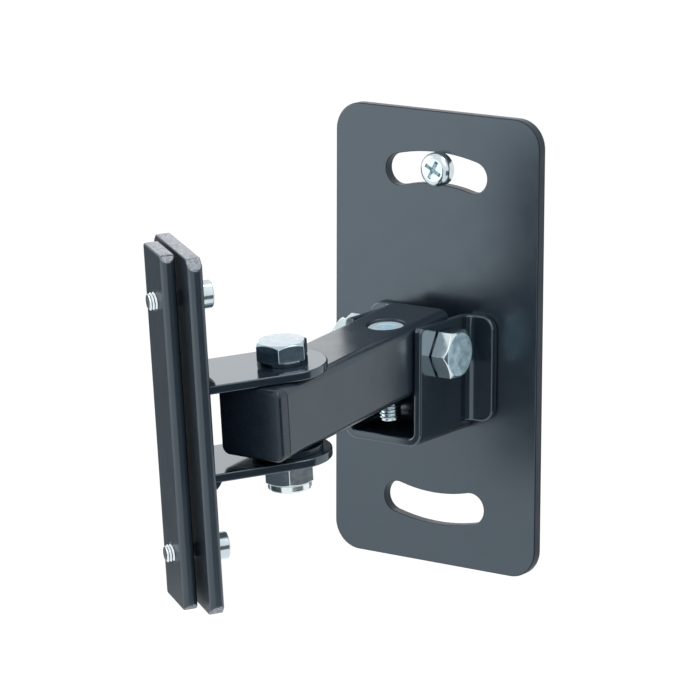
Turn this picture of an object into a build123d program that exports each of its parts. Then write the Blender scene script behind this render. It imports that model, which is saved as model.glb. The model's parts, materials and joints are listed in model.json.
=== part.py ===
from build123d import *
import math
import os

# Speaker wall bracket. Millimetres, +Z up. The wall is the plane y = 0 and the
# bracket stands out from it towards -Y; the origin is the middle of the wall face.

# Wall plate
PLATE_WIDTH = 84.0
PLATE_HEIGHT = 162.0
PLATE_THICK = 4.0
PLATE_CORNER = 10.0
PLATE_EDGE = 0.5          # rounded front edge of the outline
SLOT_EDGE = 0.3           # the same along the slots
SLOT_WIDTH = 11.2
SLOT_MARGIN = 14.4        # between a slot and the plate's top or bottom edge
SLOT_HALF_ANGLE = 14.5    # from the slot's middle to the centre of its round end

# Screw in the upper slot
SLOT_SCREW_ANGLE = 1.5    # its place in the slot, clockwise from the top
SLOT_SCREW_SHANK = 6.0
SLOT_SCREW_LAP = 0.4      # head over each side of the slot
SLOT_SCREW_RISE = 4.6
SLOT_SCREW_ROUND = 2.2    # round edge of the pan head
CROSS_LENGTH = 6.8
CROSS_WIDTH = 1.3
CROSS_DEPTH = 2.6
CROSS_TAPER = 1.8         # slope at each end of the cross, measured down its depth

# Folded channel on the wall plate
SHEET = 3.0
CHANNEL_REACH = 37.0      # from the wall to the front of the cheeks
CHANNEL_TOP = 11.5
CHANNEL_BOTTOM = -30.5
WEB_BEND = 2.0            # inside bend radius, web to cheek
FLANGE_BEND = 3.0         # inside bend radius, cheek to flange
FLANGE_FLAT = 7.25        # flat part of a flange beyond its bend
FLANGE_RAISE = 4.3        # flange's lower edge above the bottom of the web
FLANGE_CORNER = 5.0
RELIEF = 1.3              # cut between the flange and the web's bend
CHEEK_CORNER = 2.0

# Arm: square tube with a plug at its front end
ARM_SIZE = 25.0
ARM_WALL = 2.5
ARM_CORNER = 3.0
ARM_INNER_CORNER = 1.0
ARM_REAR = 8.5            # tube behind the tilt axis
ARM_BEYOND = 15.5         # tube in front of the swivel axis
ARM_SIDE_PLAY = 0.25      # between the arm and each cheek
CAP_RIM = 4.8
CAP_ROUND = 1.5
PLUG_DEPTH = 10.0
PLUG_WALL = 1.8
PLUG_PLAY = 0.1
FIN_COUNT = 3
FIN_THICK = 1.2
FIN_RISE = 1.6

# Tilt joint
TILT_OUT = 22.0           # tilt axis from the wall
TILT_UP = 0.8             # tilt axis above the plate's middle
TILT_ANGLE = 5.5          # the arm points down by this much at rest

# Pivot bolts and their lock nuts
BOLT_SIZE = 10.0
BOLT_FLATS = 16.0
BOLT_HEAD = 5.9
TILT_SEAT_RISE = 0.5      # round washer face under the head
TILT_SEAT_SIZE = 15.0
SWIVEL_SEAT_RISE = 1.5    # the same, as tall as a thin washer
SWIVEL_SEAT_SIZE = 17.0
TILT_BOLT_PROUD = 2.6     # bolt end beyond its nut
SWIVEL_BOLT_PROUD = 0.7
NUT_HEX = 8.2
NUT_COLLAR = 2.7
NUT_COLLAR_WALL = 1.3
NUT_LIP = 0.9             # collar wall turned in over the ring
RING_WALL = 1.2
RING_THICK = 1.7

# Shapes that all fasteners share, as parts of their own size
HEX_FACE = 0.95           # round face of a hexagon, of its flats
HEX_BEVEL = 30.0          # slope of the turned corners, degrees
POINT_CHAMFER = 0.1       # end of a shank, of its diameter
CAP_EDGE = 0.1            # rounded edge of a socket head, of the thread size
SOCKET_DEPTH = 0.5        # of the thread size

# Fits
PIVOT_FIT = 0.1           # radial, arm on its two bolts
THREAD_FIT = 0.05         # radial, screw in its thread
BOLT_CLEARANCE = 0.25     # radial, bolt in cheek or lug

# Tilt stop screw through the arm
STOP_GAP = 3.5            # between its head and the tilt bolt
STOP_SIDE = 2.0           # its axis to the right of the arm's middle
STOP_SIZE = 8.0
STOP_HEAD = 13.0
STOP_HEAD_RISE = 8.0
STOP_TIP_GAP = 5.3        # its tip over the channel's web
STOP_SINK = 0.85          # head below the top of the arm
STOP_SOCKET = 6.0
STOP_HEAD_PLAY = 0.15
STOP_EXIT_PLAY = 0.5
STOP_NUT_FLATS = 13.0
STOP_NUT_RISE = 6.5

# Swivel joint and the two lugs of the head
SWIVEL_OUT = 73.5         # swivel axis in front of the tilt axis
SWIVEL_ANGLE = 36.7       # the head is turned to -X by this much at rest
SWIVEL_PLAY = 0.2         # under the upper lug and over the washer
WASHER_SIZE = 24.0
WASHER_THICK = 2.0
LUG_RADIUS = 15.0
LUG_THICK = 3.0
LUG_CLEAR = 7.1           # between the arm's turning corner and the rail
WELD_LEG = 3.6
SWIVEL_HEAD_TURN = 35.5   # how the hexagons happen to stand
SWIVEL_NUT_TURN = 43.5
TILT_NUT_TURN = 30.0

# Rail: back bar with the lugs, and the bar clamped in front of it
RAIL_LENGTH = 122.5
BAR_THICK = 5.0
BAR_EDGE = 2.0            # rolled long edges
BACK_WIDTH = 41.0
BACK_CORNER = 3.4
CLAMP_WIDTH = 22.0
CLAMP_CORNER = 2.0
RAIL_GAP = 1.4            # takes the lips of the speaker's rail
RAIL_SCREW_END = 17.55    # screw to the end of the rail
RAIL_SCREW_SIZE = 6.0
RAIL_SCREW_HEAD = 10.0
RAIL_SCREW_HEAD_RISE = 6.0
RAIL_SCREW_PROUD = 2.4    # screw end in front of the clamp bar
RAIL_SCREW_SOCKET = 5.0
RAIL_SCREW_PLAY = 0.3
RAIL_WASHER_SIZE = 12.0
RAIL_WASHER_THICK = 1.6

# Worked out from the sizes above
SLOT_RADIUS = PLATE_HEIGHT / 2 - SLOT_MARGIN - SLOT_WIDTH / 2
SLOT_SCREW_HEAD = SLOT_WIDTH + 2 * SLOT_SCREW_LAP
ARM_HALF = ARM_SIZE / 2
ARM_BORE = ARM_SIZE - 2 * ARM_WALL
ARM_FRONT = SWIVEL_OUT + ARM_BEYOND
CHEEK_IN = ARM_HALF + ARM_SIDE_PLAY
CHEEK_OUT = CHEEK_IN + SHEET
WEB_FACE = CHANNEL_BOTTOM + SHEET
FLANGE_BOTTOM = CHANNEL_BOTTOM + FLANGE_RAISE
FLANGE_OUT = CHEEK_OUT + FLANGE_BEND + FLANGE_FLAT
RING_SIZE = BOLT_SIZE + 2 * RING_WALL
NUT_COLLAR_SIZE = RING_SIZE + 2 * NUT_COLLAR_WALL
NUT_RISE = NUT_HEX + NUT_COLLAR
STOP_OUT = BOLT_SIZE / 2 + STOP_GAP + STOP_HEAD / 2
STOP_SEAT = ARM_HALF - STOP_SINK - STOP_HEAD_RISE
SLOPE = math.radians(TILT_ANGLE)
STOP_TIP = (WEB_FACE + STOP_TIP_GAP - TILT_UP + STOP_OUT * math.sin(SLOPE)) / math.cos(SLOPE)
ARM_SWING = math.hypot(ARM_BEYOND + CAP_RIM, ARM_HALF)
LUG_LENGTH = ARM_SWING + LUG_CLEAR
RAIL_SCREW_PITCH = RAIL_LENGTH - 2 * RAIL_SCREW_END
RAIL_SCREW_LENGTH = RAIL_WASHER_THICK + 2 * BAR_THICK + RAIL_GAP + RAIL_SCREW_PROUD
LUG_ROOF = ARM_HALF + SWIVEL_PLAY
LUG_FLOOR = -ARM_HALF - SWIVEL_PLAY - WASHER_THICK
HEAD_MIDDLE = (LUG_ROOF + LUG_FLOOR) / 2
WALL = Location((0, 0, 0))
ARM = Location((0, -TILT_OUT, TILT_UP), (TILT_ANGLE, 0, 0))
HEAD = ARM * Location((0, -SWIVEL_OUT, 0), (0, 0, -SWIVEL_ANGLE))
LOW = (Align.CENTER, Align.CENTER, Align.MIN)


def rod(diameter, start, end):
    """Upright cylinder on the Z axis between two heights."""
    return Pos(0, 0, start) * Cylinder(diameter / 2, end - start, align=LOW)


def ring(outer, inner, start, end):
    """Upright tube on the Z axis between two heights."""
    return rod(outer, start, end) - rod(inner, start, end)


def hexagon(flats, height, chamfer_top=True, chamfer_foot=False):
    """Hexagon standing on z = 0, its corners turned off at an end or both."""
    corner = flats / math.sqrt(3)
    face = HEX_FACE * flats / 2
    drop = (corner - face) * math.tan(math.radians(HEX_BEVEL))
    prism = extrude(RegularPolygon(flats / 2, 6, major_radius=False), height)
    start = drop if chamfer_foot else 0
    end = height - drop if chamfer_top else height
    envelope = rod(2 * corner, start, end)
    if chamfer_top:
        envelope += Pos(0, 0, end) * Cone(corner, face, drop, align=LOW)
    if chamfer_foot:
        envelope += Cone(face, corner, drop, align=LOW)
    return prism & envelope


def pointed_shank(diameter, length):
    """Shank from z = 0 down, with a chamfered end."""
    shank = rod(diameter, -length, 0)
    return chamfer(shank.edges().group_by(Axis.Z)[0], POINT_CHAMFER * diameter)


def hex_bolt(seat_size, seat_rise, grip, proud):
    """Pivot bolt: seat on z = 0, shank down through the grip and its nut."""
    seat = rod(seat_size, 0, seat_rise)
    head = Pos(0, 0, seat_rise) * hexagon(BOLT_FLATS, BOLT_HEAD)
    return seat + head + pointed_shank(BOLT_SIZE, grip + NUT_RISE + proud)


def lock_nut():
    """Nut body hanging from z = 0 with a collar that holds the nylon ring."""
    bore = BOLT_SIZE + 2 * THREAD_FIT
    body = Pos(0, 0, -NUT_HEX) * hexagon(BOLT_FLATS, NUT_HEX, chamfer_foot=True)
    collar = rod(NUT_COLLAR_SIZE, -NUT_RISE, -NUT_HEX)
    collar = fillet(collar.edges().group_by(Axis.Z)[0], NUT_LIP)
    seat = rod(RING_SIZE, -NUT_RISE + NUT_LIP, -NUT_RISE + NUT_LIP + RING_THICK)
    mouth = rod(RING_SIZE - 2 * NUT_LIP, -NUT_RISE, -NUT_RISE + NUT_LIP)
    return body + collar - rod(bore, -NUT_RISE, 0) - seat - mouth


def lock_ring():
    """Nylon ring inside the nut's collar."""
    foot = -NUT_RISE + NUT_LIP
    return ring(RING_SIZE, BOLT_SIZE + 2 * THREAD_FIT, foot, foot + RING_THICK)


def cap_screw(size, head, rise, length, socket):
    """Socket screw: head on z = 0, shank down."""
    top = rod(head, 0, rise)
    top = fillet(top.edges().group_by(Axis.Z)[-1], CAP_EDGE * size)
    depth = SOCKET_DEPTH * size
    recess = extrude(RegularPolygon(socket / 2, 6, major_radius=False), depth)
    return top - Pos(0, 0, rise - depth) * recess + pointed_shank(size, length)


def slot_at(angle):
    """Arc slot outline whose middle stands at an angle from the top."""
    start = 90 - angle - SLOT_HALF_ANGLE
    arc = CenterArc((0, 0), SLOT_RADIUS, start, 2 * SLOT_HALF_ANGLE)
    return SlotArc(arc, SLOT_WIDTH)


def wall_plate():
    outline = RectangleRounded(PLATE_WIDTH, PLATE_HEIGHT, PLATE_CORNER)
    outline -= slot_at(0)
    outline -= slot_at(180)
    plate = extrude(Plane.XZ * outline, PLATE_THICK)
    rim = plate.faces().sort_by(Axis.Y)[0].outer_wire()
    plate = fillet(rim.edges(), PLATE_EDGE)
    slots = plate.faces().sort_by(Axis.Y)[0].inner_wires()
    return fillet([edge for slot in slots for edge in slot.edges()], SLOT_EDGE)


def slot_screw():
    """Pan-head cross screw, cut off level with the wall face."""
    head = rod(SLOT_SCREW_HEAD, 0, SLOT_SCREW_RISE)
    head = fillet(head.edges().group_by(Axis.Z)[-1], SLOT_SCREW_ROUND)
    blade = Pos(0, 0, SLOT_SCREW_RISE - CROSS_DEPTH) * Box(
        CROSS_LENGTH, CROSS_WIDTH, CROSS_DEPTH, align=LOW)
    blade = chamfer(blade.edges().filter_by(Axis.Y).group_by(Axis.Z)[0], CROSS_TAPER)
    screw = head - blade - Rot(0, 0, 90) * blade + rod(SLOT_SCREW_SHANK, -PLATE_THICK, 0)
    turn = math.radians(SLOT_SCREW_ANGLE)
    place = (SLOT_RADIUS * math.sin(turn), -PLATE_THICK, SLOT_RADIUS * math.cos(turn))
    return Pos(*place) * Rot(90, 0, 0) * screw


def channel_section():
    """U of the web and both cheeks, drawn across the arm."""
    height = CHANNEL_TOP - CHANNEL_BOTTOM
    outer = Pos(0, CHANNEL_BOTTOM) * Rectangle(
        2 * CHEEK_OUT, height, align=(Align.CENTER, Align.MIN))
    inner = Pos(0, CHANNEL_BOTTOM + SHEET) * Rectangle(
        2 * CHEEK_IN, height, align=(Align.CENTER, Align.MIN))
    outer = fillet(outer.vertices().group_by(Axis.Y)[0], WEB_BEND + SHEET)
    inner = fillet(inner.vertices().group_by(Axis.Y)[0], WEB_BEND)
    return outer - inner


def channel_flange(bend_line):
    """Rear part of the right cheek, bent out flat on the wall plate."""
    bend_x = CHEEK_OUT + FLANGE_BEND
    back, front = -PLATE_THICK, -PLATE_THICK - SHEET
    outside = CenterArc((bend_x, -bend_line), FLANGE_BEND + SHEET, 90, 90)
    inside = CenterArc((bend_x, -bend_line), FLANGE_BEND, 90, 90)
    border = [
        outside,
        inside,
        Line((bend_x, back), (FLANGE_OUT, back)),
        Line((FLANGE_OUT, back), (FLANGE_OUT, front)),
        Line((FLANGE_OUT, front), (bend_x, front)),
        Line(outside @ 1, inside @ 1),
    ]
    profile = make_face(Curve() + border)
    flange = Pos(0, 0, FLANGE_BOTTOM) * extrude(profile, CHANNEL_TOP - FLANGE_BOTTOM)
    corners = flange.edges().filter_by(Axis.Y).group_by(Axis.X)[-1]
    return fillet(corners, FLANGE_CORNER)


def tilt_channel():
    """Channel folded from one sheet, with a flange turned out of each cheek."""
    bend_line = PLATE_THICK + SHEET + FLANGE_BEND
    section = channel_section()
    trough = extrude(Plane.XZ.offset(bend_line) * section, CHANNEL_REACH - bend_line)
    foot = extrude(Plane.XZ.offset(PLATE_THICK) * section, bend_line - PLATE_THICK)
    foot &= Pos(0, 0, CHANNEL_BOTTOM) * Box(
        4 * CHEEK_OUT, 4 * CHANNEL_REACH, FLANGE_RAISE - RELIEF, align=LOW)
    tips = trough.edges().filter_by(Axis.X).group_by(Axis.Z)[-1].group_by(Axis.Y)[0]
    trough = fillet(tips, CHEEK_CORNER)
    flange = channel_flange(bend_line)
    channel = trough + foot + flange + mirror(flange, about=Plane.YZ)
    hole = Cylinder(BOLT_SIZE / 2 + BOLT_CLEARANCE, 4 * CHEEK_OUT)
    return channel - Pos(0, -TILT_OUT, TILT_UP) * Rot(0, 90, 0) * hole


def across(shape, x):
    """Turn an upright fastener to lie along X, its head side to +X."""
    return Pos(x, -TILT_OUT, TILT_UP) * Rot(0, 90, 0) * Rot(0, 0, 90) * shape


def arm_tube():
    section = RectangleRounded(ARM_SIZE, ARM_SIZE, ARM_CORNER)
    section -= RectangleRounded(ARM_BORE, ARM_BORE, ARM_INNER_CORNER)
    tube = extrude(Plane.XZ.offset(-ARM_REAR) * section, ARM_REAR + ARM_FRONT)
    pivot = Cylinder(BOLT_SIZE / 2 + PIVOT_FIT, 2 * ARM_SIZE)
    tube -= Rot(0, 90, 0) * pivot
    tube -= Pos(0, -SWIVEL_OUT, 0) * pivot
    head_hole = rod(STOP_HEAD + 2 * STOP_HEAD_PLAY, 0, ARM_SIZE)
    exit_hole = rod(STOP_SIZE + 2 * STOP_EXIT_PLAY, -ARM_SIZE, 0)
    return tube - Pos(STOP_SIDE, -STOP_OUT, 0) * (head_hole + exit_hole)


def arm_end_cap():
    """Plug with a rounded rim, a hollow core and fins that grip the tube."""
    fin_size = ARM_BORE - 2 * PLUG_PLAY
    core_size = fin_size - 2 * FIN_RISE
    end = Plane.XZ.offset(ARM_FRONT)
    rim = extrude(end * RectangleRounded(ARM_SIZE, ARM_SIZE, ARM_CORNER), CAP_RIM)
    rim = fillet(rim.faces().sort_by(Axis.Y)[0].edges(), CAP_ROUND)
    core = extrude(end * RectangleRounded(core_size, core_size, ARM_INNER_CORNER), -PLUG_DEPTH)
    cap = rim + core
    for i in range(FIN_COUNT):
        inset = (i + 1) * PLUG_DEPTH / FIN_COUNT
        fin = RectangleRounded(fin_size, fin_size, ARM_INNER_CORNER)
        cap += extrude(Plane.XZ.offset(ARM_FRONT - inset) * fin, FIN_THICK)
    hollow = core_size - 2 * PLUG_WALL
    pocket = RectangleRounded(hollow, hollow, ARM_INNER_CORNER)
    return cap - extrude(end * pocket, -PLUG_DEPTH)


def stop_nut():
    """Weld nut inside the arm, on its lower wall."""
    nut = hexagon(STOP_NUT_FLATS, STOP_NUT_RISE, chamfer_foot=True)
    nut -= rod(STOP_SIZE + 2 * THREAD_FIT, 0, STOP_NUT_RISE)
    return Pos(STOP_SIDE, -STOP_OUT, -ARM_HALF + ARM_WALL) * Rot(0, 0, 30) * nut


def stop_screw():
    """Socket screw sunk in the top of the arm; its tip stands over the web."""
    length = STOP_SEAT - STOP_TIP
    screw = cap_screw(STOP_SIZE, STOP_HEAD, STOP_HEAD_RISE, length, STOP_SOCKET)
    return Pos(STOP_SIDE, -STOP_OUT, STOP_SEAT) * screw


def lug(height):
    """Flat lug from the rail to a round end about the swivel axis."""
    outline = Circle(LUG_RADIUS) + Pos(0, -LUG_LENGTH / 2) * Rectangle(2 * LUG_RADIUS, LUG_LENGTH)
    outline -= Circle(BOLT_SIZE / 2 + BOLT_CLEARANCE)
    return Pos(0, 0, height) * extrude(outline, LUG_THICK)


def lug_weld(height, side):
    """Fillet weld across a lug's outer face, against the back bar."""
    back = -LUG_LENGTH
    section = Polyline((back, height), (back + WELD_LEG, height),
                       (back, height + side * WELD_LEG), close=True)
    bead = extrude(Plane.YZ * make_face(section), LUG_RADIUS, both=True)
    return bead


def swivel_washer():
    bore = BOLT_SIZE + 2 * BOLT_CLEARANCE
    return ring(WASHER_SIZE, bore, LUG_FLOOR, LUG_FLOOR + WASHER_THICK)


def rail_bar(width, corner, back, hole):
    """Flat bar with rolled edges, cut corners and a hole for each rail screw."""
    outline = chamfer(Rectangle(width, RAIL_LENGTH).vertices(), corner)
    bar = extrude(Plane.XZ.offset(back) * outline, BAR_THICK)
    bar = fillet(bar.edges().filter_by(Axis.Z), BAR_EDGE)
    for side in (-1, 1):
        drill = Pos(0, -back, side * RAIL_SCREW_PITCH / 2) * Rot(90, 0, 0)
        bar -= drill * Cylinder(hole / 2, 4 * BAR_THICK)
    return Pos(0, 0, HEAD_MIDDLE) * bar


def on_rail(shape, side):
    """Stand an upright fastener on the back bar, its head side to +Y."""
    height = HEAD_MIDDLE + side * RAIL_SCREW_PITCH / 2
    return Pos(0, -LUG_LENGTH, height) * Rot(-90, 0, 0) * shape


def rail_screw(side):
    screw = cap_screw(RAIL_SCREW_SIZE, RAIL_SCREW_HEAD, RAIL_SCREW_HEAD_RISE,
                      RAIL_SCREW_LENGTH, RAIL_SCREW_SOCKET)
    return on_rail(Pos(0, 0, RAIL_WASHER_THICK) * screw, side)


def rail_washer(side):
    bore = RAIL_SCREW_SIZE + 2 * RAIL_SCREW_PLAY
    return on_rail(ring(RAIL_WASHER_SIZE, bore, 0, RAIL_WASHER_THICK), side)


def wall_parts():
    bolt = hex_bolt(TILT_SEAT_SIZE, TILT_SEAT_RISE, 2 * CHEEK_OUT, TILT_BOLT_PROUD)
    return {
        "wall_plate": wall_plate(),
        "slot_screw": slot_screw(),
        "tilt_channel": tilt_channel(),
        "tilt_bolt": across(bolt, CHEEK_OUT),
        "tilt_nut": across(Rot(0, 0, TILT_NUT_TURN) * lock_nut(), -CHEEK_OUT),
        "tilt_nut_ring": across(lock_ring(), -CHEEK_OUT),
    }


def arm_parts():
    return {
        "arm_tube": arm_tube(),
        "arm_end_cap": arm_end_cap(),
        "stop_nut": stop_nut(),
        "stop_screw": stop_screw(),
    }


def head_parts():
    roof_top = LUG_ROOF + LUG_THICK
    floor_foot = LUG_FLOOR - LUG_THICK
    clamp_back = LUG_LENGTH + BAR_THICK + RAIL_GAP
    clear_hole = RAIL_SCREW_SIZE + 2 * RAIL_SCREW_PLAY
    tapped_hole = RAIL_SCREW_SIZE + 2 * THREAD_FIT
    bolt = hex_bolt(SWIVEL_SEAT_SIZE, SWIVEL_SEAT_RISE, roof_top - floor_foot, SWIVEL_BOLT_PROUD)
    parts = {
        "rail_back_bar": rail_bar(BACK_WIDTH, BACK_CORNER, LUG_LENGTH, clear_hole),
        "clamp_bar": rail_bar(CLAMP_WIDTH, CLAMP_CORNER, clamp_back, tapped_hole),
        "lug_upper": lug(LUG_ROOF),
        "lug_lower": lug(floor_foot),
        "lug_weld_upper": lug_weld(roof_top, 1),
        "lug_weld_lower": lug_weld(floor_foot, -1),
        "swivel_washer": swivel_washer(),
        "swivel_bolt": Pos(0, 0, roof_top) * Rot(0, 0, SWIVEL_HEAD_TURN) * bolt,
        "swivel_nut": Pos(0, 0, floor_foot) * Rot(0, 0, SWIVEL_NUT_TURN) * lock_nut(),
        "swivel_nut_ring": Pos(0, 0, floor_foot) * lock_ring(),
    }
    for name, side in (("upper", 1), ("lower", -1)):
        parts[f"rail_screw_{name}"] = rail_screw(side)
        parts[f"rail_washer_{name}"] = rail_washer(side)
    return parts


os.makedirs("parts", exist_ok=True)
for frame, parts in ((WALL, wall_parts()), (ARM, arm_parts()), (HEAD, head_parts())):
    for node, shape in parts.items():
        export_step(frame * shape, f"parts/{node}.step")
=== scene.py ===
import json
import math

import bmesh
import bpy
from mathutils import Matrix, Quaternion, Vector


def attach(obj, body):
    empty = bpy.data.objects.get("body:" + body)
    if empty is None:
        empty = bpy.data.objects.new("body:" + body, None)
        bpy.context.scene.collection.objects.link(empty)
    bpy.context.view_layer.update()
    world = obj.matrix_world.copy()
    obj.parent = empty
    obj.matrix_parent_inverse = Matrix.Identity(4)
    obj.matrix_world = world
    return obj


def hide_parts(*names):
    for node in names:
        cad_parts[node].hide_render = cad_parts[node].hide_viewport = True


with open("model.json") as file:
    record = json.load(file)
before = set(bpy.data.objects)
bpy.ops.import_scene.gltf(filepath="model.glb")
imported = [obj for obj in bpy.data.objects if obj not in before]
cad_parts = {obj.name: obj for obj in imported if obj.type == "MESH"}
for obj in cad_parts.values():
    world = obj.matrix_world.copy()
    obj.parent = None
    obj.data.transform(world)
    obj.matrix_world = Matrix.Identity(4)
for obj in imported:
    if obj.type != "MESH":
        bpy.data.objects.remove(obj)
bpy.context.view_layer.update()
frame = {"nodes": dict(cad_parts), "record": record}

# Speaker wall bracket: finishes, rounded edges, threads, weld beads, light and camera.
# Metres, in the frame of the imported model: the wall is y = 0 and the arm points to -Y.

MM = 0.001
NODES = frame["nodes"]

# Tilt and swivel axes, and how the arm and the head stand at rest
TILT_OUT = 22.0 * MM
TILT_UP = 0.8 * MM
TILT_ANGLE = math.radians(5.5)
SWIVEL_OUT = 73.5 * MM
SWIVEL_ANGLE = math.radians(36.7)
ARM = Matrix.Translation((0, -TILT_OUT, TILT_UP)) @ Matrix.Rotation(TILT_ANGLE, 4, "X")
HEAD = ARM @ Matrix.Translation((0, -SWIVEL_OUT, 0)) @ Matrix.Rotation(-SWIVEL_ANGLE, 4, "Z")
TO_HEAD = HEAD.inverted()
HEAD_UP = HEAD.to_3x3() @ Vector((0, 0, 1))

# Arm and lugs, in the head's own axes
ARM_HALF = 12.5 * MM
ARM_BEYOND = 15.5 * MM       # tube in front of the swivel axis
CAP_RIM = 4.8 * MM
SWIVEL_PLAY = 0.2 * MM
SWIVEL_WASHER = 2.0 * MM
LUG_THICK = 3.0 * MM
LUG_HALF = 15.0 * MM
LUG_CLEAR = 7.1 * MM         # between the arm's turning corner and the rail
LUG_LENGTH = math.hypot(ARM_BEYOND + CAP_RIM, ARM_HALF) + LUG_CLEAR
LUG_TOP = ARM_HALF + SWIVEL_PLAY + LUG_THICK
LUG_FOOT = -LUG_TOP - SWIVEL_WASHER

# Rail screws, along the head's Y axis
RAIL_SCREW_SIZE = 6.0 * MM
RAIL_SCREW_PITCH = 1.0 * MM
RAIL_SCREW_LENGTH = 15.4 * MM
RAIL_SCREW_SEAT = 1.6 * MM   # a washer lies under the head
RAIL_SCREW_SPACING = 87.4 * MM
RAIL_MIDDLE = (LUG_TOP + LUG_FOOT) / 2

# Stop screw, along the arm's Z axis, with its tip over the channel's web
STOP_SIZE = 8.0 * MM
STOP_PITCH = 1.25 * MM
STOP_SIDE = 2.0 * MM
STOP_OUT = 15.0 * MM
STOP_SEAT = 3.65 * MM
WEB_FACE = -27.5 * MM
STOP_TIP_GAP = 5.3 * MM
STOP_DROP = WEB_FACE + STOP_TIP_GAP - TILT_UP + STOP_OUT * math.sin(TILT_ANGLE)
STOP_TIP = STOP_DROP / math.cos(TILT_ANGLE)

SLOT_SCREW_TURN = math.radians(28)

# Screws whose thread is modelled, with sharp thread edges and rounded heads
THREADED = ("stop_screw", "rail_screw_upper", "rail_screw_lower")
THREAD_FINISH = 1            # place of the thread's finish among the screw's
HEAD_EDGE = 0.18 * MM

# Thread shape, in shares of its pitch
THREAD_STEPS = 32
THREAD_DEPTH = 0.55
CREST_SLOPE = 0.05
FLANK_LEVELS = (0.0, 0.4, 0.55, 0.95)
POINT_INSET = 0.1

# Weld beads across the lugs
WELD_LEG = 3.6 * MM
WELD_INSET = 0.12 * MM       # keeps the ripple inside the solid's outline
WELD_HOLLOW = 0.16           # how much the bead sags between its legs
WELD_END = 1.2 * MM          # stretch in which the bead runs out
WELD_END_LEG = 0.8           # leg at the very end, of the whole leg
WELD_STEPS_ALONG = 150
WELD_STEPS_ROUND = 8
RIPPLE_HEIGHT = 0.10 * MM
RIPPLE_PITCH = 1.5 * MM
RIPPLE_WANDER = 0.4 * MM
RIPPLE_WANDER_RATE = 900     # radians for a metre

# Rounded edges by node
EDGES = {
    "wall_plate": 0.35 * MM, "tilt_channel": 0.75 * MM, "arm_tube": 0.3 * MM,
    "arm_end_cap": 0.3 * MM, "rail_back_bar": 0.6 * MM, "clamp_bar": 0.6 * MM,
    "lug_upper": 0.5 * MM, "lug_lower": 0.5 * MM, "swivel_washer": 0.2 * MM,
    "slot_screw": 0.12 * MM, "tilt_bolt": 0.22 * MM, "swivel_bolt": 0.22 * MM,
    "tilt_nut": 0.2 * MM, "swivel_nut": 0.2 * MM, "stop_nut": 0.2 * MM,
    "rail_washer_upper": 0.2 * MM, "rail_washer_lower": 0.2 * MM,
}
EDGE_ANGLE = math.radians(28)
EDGE_STEPS = 3
FACE_WEIGHT = 100            # large faces stay flat to the eye

# Narrow cuts between the channel's flanges and its web, which stay sharp
RELIEF_FRONT = -10.2 * MM
RELIEF_TOP = -26.25 * MM
WEB_BEND_SIDE = 12.9 * MM
WEB_BEND_TOP = -25.3 * MM

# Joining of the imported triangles
SAME_POINT = 0.002 * MM
SAME_THREAD_POINT = 0.004 * MM
SAME_PLANE = math.radians(0.4)

# How faces are chosen for a finish of their own
FLAT = 0.999                 # cosine between a flat face and its axis
RIM_SLOPE = 0.9              # the same cosine, below which a face of the plate is its rim
BAR_END_SLOPE = 0.3          # and above which a face of a bar is its end or cut corner
BAR_END_BEYOND = 10 * MM     # bar ends lie further than this beyond the rail screws
NEAR = 0.1 * MM
SEAT_RISE = 1.5 * MM         # washer face under the swivel bolt's head
SEAT_TOP = LUG_TOP + SEAT_RISE + NEAR
SEAT_INNER = 6 * MM          # outside the bolt's shank
SHANK_GAP = 0.05 * MM

# Camera, from the edges of the photograph
CAMERA_EYE = Vector((0.745296, -1.153510, 0.301071))
CAMERA_AIM = Vector((-0.025880, -0.018759, -0.004350))
CAMERA_ROLL = math.radians(0.15)
CAMERA_LENS = 205.7
CAMERA_SENSOR = 36.0
CAMERA_NEAR = 0.05
CAMERA_FAR = 50

# Studio
FLOOR_HEIGHT = -0.30
FLOOR_HALF = 6.0
FLOOR_GLOW = 1.10
FLOOR_GLOW_SHARE = 0.85
WORLD_LIGHT = 0.55
WORLD_SEEN = 1.0
CARD_TOP = 0.0
LIGHT_AIM = Vector((0, -0.05, 0))

# Where noise mostly lies, between 0 and 1
NOISE_BAND = (0.25, 0.75)
TINT_BAND = (0.3, 0.7)

COOL_SHINE = (0.72, 0.88, 1.0, 1)


def new_material(name):
    """A node material: its node tree and its principled shader."""
    material = bpy.data.materials.new(name)
    material.use_nodes = True
    tree = material.node_tree
    return material, tree, tree.nodes["Principled BSDF"]


def noise(tree, scale, detail, stretch=(1, 1, 1)):
    """Noise over the piece's own coordinates; scale is in waves per metre."""
    place = tree.nodes.new("ShaderNodeTexCoord")
    mapping = tree.nodes.new("ShaderNodeMapping")
    mapping.inputs["Scale"].default_value = stretch
    texture = tree.nodes.new("ShaderNodeTexNoise")
    texture.inputs["Scale"].default_value = scale
    texture.inputs["Detail"].default_value = detail
    tree.links.new(place.outputs["Object"], mapping.inputs["Vector"])
    tree.links.new(mapping.outputs["Vector"], texture.inputs["Vector"])
    return texture.outputs["Fac"]


def spread(tree, value, low, high):
    """A noise value stretched between two numbers."""
    stretch = tree.nodes.new("ShaderNodeMapRange")
    stretch.inputs["From Min"].default_value = NOISE_BAND[0]
    stretch.inputs["From Max"].default_value = NOISE_BAND[1]
    stretch.inputs["To Min"].default_value = low
    stretch.inputs["To Max"].default_value = high
    tree.links.new(value, stretch.inputs["Value"])
    return stretch.outputs["Result"]


def tint(tree, value, dark, light):
    """A noise value turned into a colour between two."""
    ramp = tree.nodes.new("ShaderNodeValToRGB")
    for stop, position, colour in zip(ramp.color_ramp.elements, TINT_BAND, (dark, light)):
        stop.position = position
        stop.color = (*colour, 1)
    tree.links.new(value, ramp.inputs["Fac"])
    return ramp.outputs["Color"]


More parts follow.
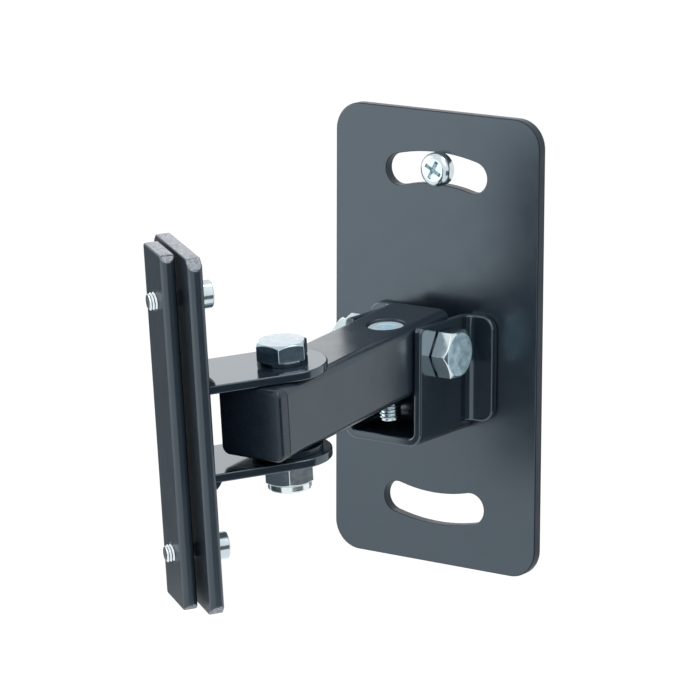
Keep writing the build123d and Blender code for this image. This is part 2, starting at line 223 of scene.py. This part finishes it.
def bump(tree, shader, value, height):
    """Relief of a height, in metres, on the shader's normal."""
    relief = tree.nodes.new("ShaderNodeBump")
    relief.inputs["Strength"].default_value = 1.0
    relief.inputs["Distance"].default_value = height
    tree.links.new(value, relief.inputs["Height"])
    tree.links.new(relief.outputs["Normal"], shader.inputs["Normal"])


def grained(name, colour, gloss, relief):
    """Material and shader with noise in its colour, roughness and relief.

    Each of the three starts with the noise's scale and detail. Colour and gloss go on with the
    two values they lie between, relief with a stretch of the noise, if any, and its height.
    """
    material, tree, shader = new_material(name)
    scale, detail, dark, light = colour
    tinted = tint(tree, noise(tree, scale, detail), dark, light)
    tree.links.new(tinted, shader.inputs["Base Color"])
    scale, detail, smooth, rough = gloss
    roughness = spread(tree, noise(tree, scale, detail), smooth, rough)
    tree.links.new(roughness, shader.inputs["Roughness"])
    *waves, height = relief
    bump(tree, shader, noise(tree, *waves), height)
    return material, shader


def paint(name, smooth, rough, index):
    """Black coat with a faint orange peel; the index sets how well it mirrors."""
    material, shader = grained(
        name,
        colour=(60, 3, (0.010, 0.017, 0.027), (0.014, 0.022, 0.033)),
        gloss=(140, 4, smooth, rough),
        relief=(500, 2, 0.003 * MM))
    shader.inputs["IOR"].default_value = index
    shader.inputs["Specular Tint"].default_value = COOL_SHINE
    return material


def cut_paint():
    """Patchy colour, from near black to light grey, over the bars' sawn ends and cut corners."""
    material, shader = grained(
        "cut_paint",
        colour=(1300, 5, (0.07, 0.08, 0.10), (0.44, 0.49, 0.57)),
        gloss=(700, 4, 0.28, 0.50),
        relief=(1300, 4, 0.05 * MM))
    shader.inputs["IOR"].default_value = 1.8
    return material


def black_plastic():
    """Matt black plastic with a fine grain."""
    material, shader = grained(
        "black_plastic",
        colour=(90, 3, (0.009, 0.016, 0.026), (0.013, 0.020, 0.031)),
        gloss=(300, 3, 0.22, 0.32),
        relief=(2500, 2, 0.006 * MM))
    shader.inputs["IOR"].default_value = 1.55
    shader.inputs["Specular Tint"].default_value = COOL_SHINE
    return material


def zinc(name, dark, light):
    """Zinc plate: cool metal with cloudy patches between two colours and fine drawn lines."""
    drawn = (1, 1, 4)
    material, shader = grained(
        name,
        colour=(250, 4, dark, light),
        gloss=(500, 4, 0.12, 0.22),
        relief=(350, 3, drawn, 0.006 * MM))
    shader.inputs["Metallic"].default_value = 1.0
    return material


def dull_zinc(name, dark, light):
    """Zinc over a forged face, mottled and rough enough to scatter the light."""
    material, shader = grained(
        name,
        colour=(420, 7, dark, light),
        gloss=(600, 4, 0.36, 0.52),
        relief=(500, 5, 0.02 * MM))
    shader.inputs["Metallic"].default_value = 0.35
    return material


def nylon():
    """Milky plastic of the lock nuts' rings."""
    material, _ = grained(
        "nylon",
        colour=(500, 3, (0.50, 0.56, 0.62), (0.60, 0.66, 0.72)),
        gloss=(900, 3, 0.35, 0.5),
        relief=(2000, 2, 0.01 * MM))
    return material


def body_of(node):
    """Name of the body that carries a node."""
    for name, nodes in frame["record"]["behaviour"]["bodies"].items():
        if node in nodes:
            return name


def slot_of(node):
    """Name of the finish that the record gives a node."""
    for piece in frame["record"]["subparts"]:
        if piece["node"] == node:
            return piece["material_slot"]


def node_mesh(node):
    """A node's shape with its flat faces made whole, ready for rounding."""
    source = NODES[node].data
    points = [vertex.co for vertex in source.vertices]
    faces = [tuple(face.vertices) for face in source.polygons]
    mesh = bpy.data.meshes.new(node)
    mesh.from_pydata(points, [], faces)
    shape = bmesh.new()
    shape.from_mesh(mesh)
    bpy.data.meshes.remove(mesh)
    bmesh.ops.remove_doubles(shape, verts=shape.verts, dist=SAME_POINT)
    bmesh.ops.dissolve_limit(
        shape, angle_limit=SAME_PLANE, verts=shape.verts, edges=shape.edges)
    return shape


def in_relief(vertex):
    """Whether a vertex is in the narrow cuts between the channel's flanges and its web."""
    top = WEB_BEND_TOP if abs(vertex.co.x) < WEB_BEND_SIDE else RELIEF_TOP
    return vertex.co.y > RELIEF_FRONT and vertex.co.z < top


def on_thread(edge):
    """Whether an edge belongs to a screw's thread."""
    return any(face.material_index == THREAD_FINISH for face in edge.link_faces)


def mark_edges(node, shape):
    """Choose the edges to round: sharp ones, but not those of threads and the channel's cuts."""
    weight = shape.edges.layers.float.new("bevel_weight_edge")
    for edge in shape.edges:
        sharp = edge.is_manifold and edge.calc_face_angle() > EDGE_ANGLE
        cut = node == "tilt_channel" and all(in_relief(vertex) for vertex in edge.verts)
        thread = node in THREADED and on_thread(edge)
        edge[weight] = float(sharp and not cut and not thread)


def stand_for(node, shape, edge, *coats):
    """Turn a shape into the piece that shows in a node's place."""
    mesh = bpy.data.meshes.new(node + "_skin")
    bmesh.ops.recalc_face_normals(shape, faces=shape.faces)
    mark_edges(node, shape)
    shape.to_mesh(mesh)
    shape.free()
    for face in mesh.polygons:
        face.use_smooth = True
    for coat in coats:
        mesh.materials.append(coat)
    piece = bpy.data.objects.new(node + "_skin", mesh)
    bpy.context.scene.collection.objects.link(piece)
    if edge:
        bevel = piece.modifiers.new("edges", "BEVEL")
        bevel.limit_method = "WEIGHT"
        bevel.width = edge
        bevel.segments = EDGE_STEPS
        bevel.use_clamp_overlap = False
    normals = piece.modifiers.new("normals", "WEIGHTED_NORMAL")
    normals.weight = FACE_WEIGHT
    normals.keep_sharp = False
    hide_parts(node)
    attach(piece, body_of(node))


def thread_point(place, radius, level, angle):
    """A point on a thread: its distance from the axis, height and angle."""
    return place @ Vector((radius * math.cos(angle), radius * math.sin(angle), level))


def add_thread(shape, place, size, pitch, tip, seat):
    """Screw thread along a place's Z axis from its tip up to the seat, with a chamfered point."""
    crest = size / 2
    root = crest - THREAD_DEPTH * pitch
    point = root - POINT_INSET * pitch
    flanks = (root, crest - CREST_SLOPE * pitch, crest, root)
    turns = math.ceil((seat - tip) / pitch) + 2
    rows = []
    for turn in range(-1, turns):
        for radius, height in zip(flanks, FLANK_LEVELS):
            row = []
            for step in range(THREAD_STEPS + 1):
                level = tip + (turn + height + step / THREAD_STEPS) * pitch
                level = min(max(level, tip), seat)
                reach = min(radius, point + (level - tip))
                if level == tip:
                    reach = point
                if level == seat:
                    reach = root
                angle = 2 * math.pi * step / THREAD_STEPS
                row.append(shape.verts.new(thread_point(place, reach, level, angle)))
            rows.append(row)
    for low, high in zip(rows, rows[1:]):
        for step in range(THREAD_STEPS):
            shape.faces.new((low[step], low[step + 1], high[step + 1], high[step]))
    for row in (rows[0], rows[-1]):
        shape.faces.new(row[:THREAD_STEPS])
    bmesh.ops.remove_doubles(shape, verts=shape.verts, dist=SAME_THREAD_POINT)
    bmesh.ops.dissolve_degenerate(shape, edges=shape.edges, dist=SAME_THREAD_POINT)


def pick_finish(shape, index, chosen):
    """Give another of the piece's finishes to the faces for which chosen(face) holds."""
    bmesh.ops.recalc_face_normals(shape, faces=shape.faces)
    for face in shape.faces:
        if chosen(face):
            face.material_index = index


def plate_rim(face):
    """The plate's outer rim and the walls of its slots."""
    return abs(face.normal.y) < RIM_SLOPE


def bar_end(face):
    """The sawn ends and cut corners of the rail's bars."""
    lift = abs((TO_HEAD @ face.calc_center_median()).z - RAIL_MIDDLE)
    beyond = lift > RAIL_SCREW_SPACING / 2 + BAR_END_BEYOND
    return beyond and abs(face.normal.dot(HEAD_UP)) > BAR_END_SLOPE


def swivel_top(face):
    """The flat top of the swivel bolt's head."""
    height = (TO_HEAD @ face.calc_center_median()).z
    return face.normal.dot(HEAD_UP) > FLAT and height > SEAT_TOP


def swivel_seat(face):
    """The washer face under the swivel bolt's head, which gets a near-black painted shade."""
    point = TO_HEAD @ face.calc_center_median()
    return LUG_TOP - NEAR < point.z < SEAT_TOP and math.hypot(point.x, point.y) > SEAT_INNER


def tilt_face(face):
    """The flat end of the tilt bolt's head."""
    return face.normal.x > FLAT


def turn_screw(shape, angle):
    """Turn a screw about its own axis, which is parallel to Y."""
    sides = [vertex.co.x for vertex in shape.verts]
    levels = [vertex.co.z for vertex in shape.verts]
    middle = Vector(((min(sides) + max(sides)) / 2, 0, (min(levels) + max(levels)) / 2))
    turn = Matrix.Rotation(angle, 3, "Y")
    bmesh.ops.rotate(shape, verts=shape.verts, cent=middle, matrix=turn)


def threaded_screw(node, place, size, pitch, tip, seat, head, thread):
    """A node's screw head on a real thread, each with its finish."""
    shape = node_mesh(node)
    local = place.inverted()
    shank = [face for face in shape.faces
             if (local @ face.calc_center_median()).z < seat - SHANK_GAP]
    bmesh.ops.delete(shape, geom=shank, context="FACES")
    kept = set(shape.faces)
    add_thread(shape, place, size, pitch, tip, seat)
    for face in set(shape.faces) - kept:
        face.material_index = THREAD_FINISH
    stand_for(node, shape, HEAD_EDGE, head, thread)


def weld_row(shape, x, height, side):
    """Points of a bead's cross-section at a place along the lug, ending at the inner corner."""
    wander = RIPPLE_WANDER * math.sin(RIPPLE_WANDER_RATE * x)
    ripple = RIPPLE_HEIGHT * math.sin(2 * math.pi * (x + wander) / RIPPLE_PITCH)
    end = min(1, (LUG_HALF - abs(x)) / WELD_END)
    leg = WELD_LEG * (WELD_END_LEG + (1 - WELD_END_LEG) * math.sqrt(end)) - WELD_INSET
    row = []
    for step in range(WELD_STEPS_ROUND + 1):
        angle = math.pi / 2 * step / WELD_STEPS_ROUND
        bulge = math.sin(2 * angle)
        reach = leg * (1 - WELD_HOLLOW * bulge) + ripple * bulge
        y = -LUG_LENGTH + reach * math.cos(angle)
        z = height + side * reach * math.sin(angle)
        row.append(shape.verts.new(HEAD @ Vector((x, y, z))))
    row.append(shape.verts.new(HEAD @ Vector((x, -LUG_LENGTH, height))))
    return row


def weld_bead(node, height, side, finish):
    """Rippled fillet weld across a lug, against the rail; side 1 is above, -1 below."""
    shape = bmesh.new()
    rows = []
    for step in range(WELD_STEPS_ALONG + 1):
        x = LUG_HALF * (2 * step / WELD_STEPS_ALONG - 1)
        rows.append(weld_row(shape, x, height, side))
    for low, high in zip(rows, rows[1:]):
        for j in range(len(low)):
            k = (j + 1) % len(low)
            shape.faces.new((low[j], low[k], high[k], high[j]))
    shape.faces.new(rows[0])
    shape.faces.new(rows[-1])
    stand_for(node, shape, 0, finish)


def add_camera():
    """Camera as the photograph was taken."""
    data = bpy.data.cameras.new("camera")
    data.sensor_width = CAMERA_SENSOR
    data.lens = CAMERA_LENS
    data.clip_start = CAMERA_NEAR
    data.clip_end = CAMERA_FAR
    camera = bpy.data.objects.new("camera", data)
    bpy.context.scene.collection.objects.link(camera)
    ahead = CAMERA_AIM - CAMERA_EYE
    camera.location = CAMERA_EYE
    camera.rotation_mode = "QUATERNION"
    camera.rotation_quaternion = Quaternion(ahead, -CAMERA_ROLL) @ ahead.to_track_quat("-Z", "Y")
    bpy.context.scene.camera = camera


def seen_rays(tree):
    """1 for rays from the camera, off mirrors and through glass, 0 for all other light."""
    path = tree.nodes.new("ShaderNodeLightPath")
    seen = path.outputs["Is Camera Ray"]
    for ray in ("Is Glossy Ray", "Is Transmission Ray"):
        either = tree.nodes.new("ShaderNodeMath")
        either.operation = "MAXIMUM"
        tree.links.new(seen, either.inputs[0])
        tree.links.new(path.outputs[ray], either.inputs[1])
        seen = either.outputs[0]
    return seen


def add_world():
    """White surroundings that light less than they show."""
    world = bpy.data.worlds.new("studio")
    world.use_nodes = True
    bpy.context.scene.world = world
    tree = world.node_tree
    light = tree.nodes["Background"]
    light.inputs["Color"].default_value = (1, 1, 1, 1)
    strength = tree.nodes.new("ShaderNodeMapRange")
    strength.inputs["To Min"].default_value = WORLD_LIGHT
    strength.inputs["To Max"].default_value = WORLD_SEEN
    tree.links.new(seen_rays(tree), strength.inputs["Value"])
    tree.links.new(strength.outputs["Result"], light.inputs["Strength"])


def add_sheet(name, corners, material):
    """Flat stage piece: the floor or a studio card."""
    mesh = bpy.data.meshes.new(name)
    mesh.from_pydata(corners, [], [(0, 1, 2, 3)])
    mesh.materials.append(material)
    sheet = bpy.data.objects.new(name, mesh)
    bpy.context.scene.collection.objects.link(sheet)
    return sheet


def add_floor():
    """Pale floor that shows white and keeps a little of its shadow."""
    material, tree, shader = new_material("floor")
    shader.inputs["Base Color"].default_value = (0.86, 0.86, 0.86, 1)
    shader.inputs["Roughness"].default_value = 0.9
    glow = tree.nodes.new("ShaderNodeEmission")
    glow.inputs["Strength"].default_value = FLOOR_GLOW
    share = tree.nodes.new("ShaderNodeMath")
    share.operation = "MULTIPLY"
    share.inputs[1].default_value = FLOOR_GLOW_SHARE
    mixed = tree.nodes.new("ShaderNodeMixShader")
    tree.links.new(seen_rays(tree), share.inputs[0])
    tree.links.new(share.outputs[0], mixed.inputs["Fac"])
    tree.links.new(shader.outputs["BSDF"], mixed.inputs[1])
    tree.links.new(glow.outputs["Emission"], mixed.inputs[2])
    tree.links.new(mixed.outputs["Shader"], tree.nodes["Material Output"].inputs["Surface"])
    signs = ((-1, -1), (1, -1), (1, 1), (-1, 1))
    corners = [(x * FLOOR_HALF, y * FLOOR_HALF, FLOOR_HEIGHT) for x, y in signs]
    add_sheet("floor", corners, material)


def add_card(name, middle, width, shade):
    """Dark card on the floor that faces the object and shows only in its gloss."""
    material, _, shader = new_material(name)
    shader.inputs["Base Color"].default_value = (*shade, 1)
    shader.inputs["Roughness"].default_value = 0.8
    side = Vector((-middle[1], middle[0])).normalized() * width / 2
    left, right = Vector(middle) - side, Vector(middle) + side
    corners = [(*left, FLOOR_HEIGHT), (*right, FLOOR_HEIGHT), (*right, CARD_TOP), (*left, CARD_TOP)]
    card = add_sheet(name, corners, material)
    card.visible_camera = False


def add_softbox(name, place, size, power, aim=LIGHT_AIM):
    """Soft rectangular lamp; its size is width and height."""
    data = bpy.data.lights.new(name, "AREA")
    data.shape = "RECTANGLE"
    data.size, data.size_y = size
    data.energy = power
    lamp = bpy.data.objects.new(name, data)
    bpy.context.scene.collection.objects.link(lamp)
    lamp.location = place
    lamp.rotation_mode = "QUATERNION"
    lamp.rotation_quaternion = (Vector(aim) - Vector(place)).to_track_quat("-Z", "Y")


def add_studio():
    """Surroundings, floor, cards and lamps."""
    add_world()
    add_floor()
    add_card("right_card", middle=(0.545, -0.167), width=0.66, shade=(0.12, 0.14, 0.16))
    add_card("left_card", middle=(-0.62, 0.06), width=0.36, shade=(0.13, 0.16, 0.18))
    add_softbox("back_light", place=(-0.95, 1.35, 0.75), size=(1.6, 1.0), power=4.0)
    add_softbox("left_light", place=(-1.6, -1.0, 0.5), size=(1.2, 1.2), power=8)
    add_softbox("right_light", place=(1.0, -1.12, 1.13), size=(0.9, 0.9), power=4)
    add_softbox("top_light", place=(0.60, 0.08, 1.37), size=(0.5, 0.5), power=4)
    add_softbox("plate_light", place=(-0.48, -0.70, -0.04), size=(0.5, 0.36), power=0.25,
                aim=(0, 0, 0))


finishes = {
    "black_paint": paint("black_paint", smooth=0.20, rough=0.27, index=1.95),
    "black_plastic": black_plastic(),
    "zinc": zinc("zinc", dark=(0.57, 0.67, 0.71), light=(0.68, 0.78, 0.81)),
    "nylon": nylon(),
}
gloss_paint = paint("gloss_paint", smooth=0.11, rough=0.17, index=1.95)
arm_paint = paint("arm_paint", smooth=0.20, rough=0.27, index=1.75)
bar_paint = paint("bar_paint", smooth=0.27, rough=0.35, index=1.88)
rim_paint = paint("rim_paint", smooth=0.42, rough=0.52, index=1.4)
sawn = cut_paint()
# Painted highlight: a lighter copy of the zinc on the swivel nut and the rail screws' threads,
# brightened to stand in for the light they catch.
highlight_zinc = zinc("highlight_zinc", dark=(0.72, 0.81, 0.84), light=(0.84, 0.91, 0.93))
# Painted shade: a darker copy of the zinc on the swivel bolt's head, darkened for the dark things
# its sides mirror.
shaded_bolt_zinc = zinc("shaded_bolt_zinc", dark=(0.36, 0.47, 0.54), light=(0.48, 0.60, 0.67))
# Painted shade: near-black zinc on the washer face under the swivel bolt's head, standing in for
# the shade and dark reflection there.
shaded_seat_zinc = zinc("shaded_seat_zinc", dark=(0.05, 0.07, 0.09), light=(0.09, 0.12, 0.15))
# Painted highlight: a brighter, bluer copy of the dull zinc on the stop screw's head, standing in
# for the light it catches from above.
highlight_stop_zinc = dull_zinc("highlight_stop_zinc", dark=(0.66, 0.83, 0.93), light=(0.78, 0.94, 0.99))
forged = dull_zinc("forged_zinc", dark=(0.26, 0.42, 0.51), light=(0.64, 0.86, 0.96))
forged_top = dull_zinc("forged_top_zinc", dark=(0.60, 0.69, 0.75), light=(0.72, 0.80, 0.85))

# Pieces with finishes of their own: the main one, then one for each group of faces
GROUPS = {
    "wall_plate": (finishes["black_paint"], (plate_rim, rim_paint)),
    "rail_back_bar": (bar_paint, (bar_end, sawn)),
    "clamp_bar": (bar_paint, (bar_end, sawn)),
    "tilt_channel": (gloss_paint,),
    "arm_tube": (arm_paint,),
    "lug_upper": (gloss_paint,),
    "lug_lower": (gloss_paint,),
    "tilt_bolt": (finishes["zinc"], (tilt_face, forged)),
    # Swivel bolt: painted shade on the sides of its head and on its washer face.
    "swivel_bolt": (shaded_bolt_zinc, (swivel_top, forged_top), (swivel_seat, shaded_seat_zinc)),
    "swivel_nut": (highlight_zinc,),
}

for node in NODES:
    if node in EDGES:
        shape = node_mesh(node)
        if node == "slot_screw":
            turn_screw(shape, SLOT_SCREW_TURN)
        main, *groups = GROUPS.get(node, (finishes[slot_of(node)],))
        for index, (chosen, finish) in enumerate(groups, 1):
            pick_finish(shape, index, chosen)
        stand_for(node, shape, EDGES[node], main, *(finish for chosen, finish in groups))
    else:
        NODES[node].data.materials.clear()
        NODES[node].data.materials.append(finishes[slot_of(node)])

weld_bead("lug_weld_upper", LUG_TOP, 1, gloss_paint)
weld_bead("lug_weld_lower", LUG_FOOT, -1, gloss_paint)

stop_place = ARM @ Matrix.Translation((STOP_SIDE, -STOP_OUT, 0))
threaded_screw("stop_screw", stop_place, STOP_SIZE, STOP_PITCH, STOP_TIP, STOP_SEAT,
               highlight_stop_zinc, finishes["zinc"])
for node, side in (("rail_screw_upper", 1), ("rail_screw_lower", -1)):
    height = RAIL_MIDDLE + side * RAIL_SCREW_SPACING / 2
    rail_place = HEAD @ Matrix.Translation((0, -LUG_LENGTH, height))
    rail_place = rail_place @ Matrix.Rotation(math.radians(-90), 4, "X")
    threaded_screw(node, rail_place, RAIL_SCREW_SIZE, RAIL_SCREW_PITCH,
                   RAIL_SCREW_SEAT - RAIL_SCREW_LENGTH, RAIL_SCREW_SEAT,
                   finishes["zinc"], highlight_zinc)

add_studio()
add_camera()
bpy.context.scene.view_settings.view_transform = "Standard"
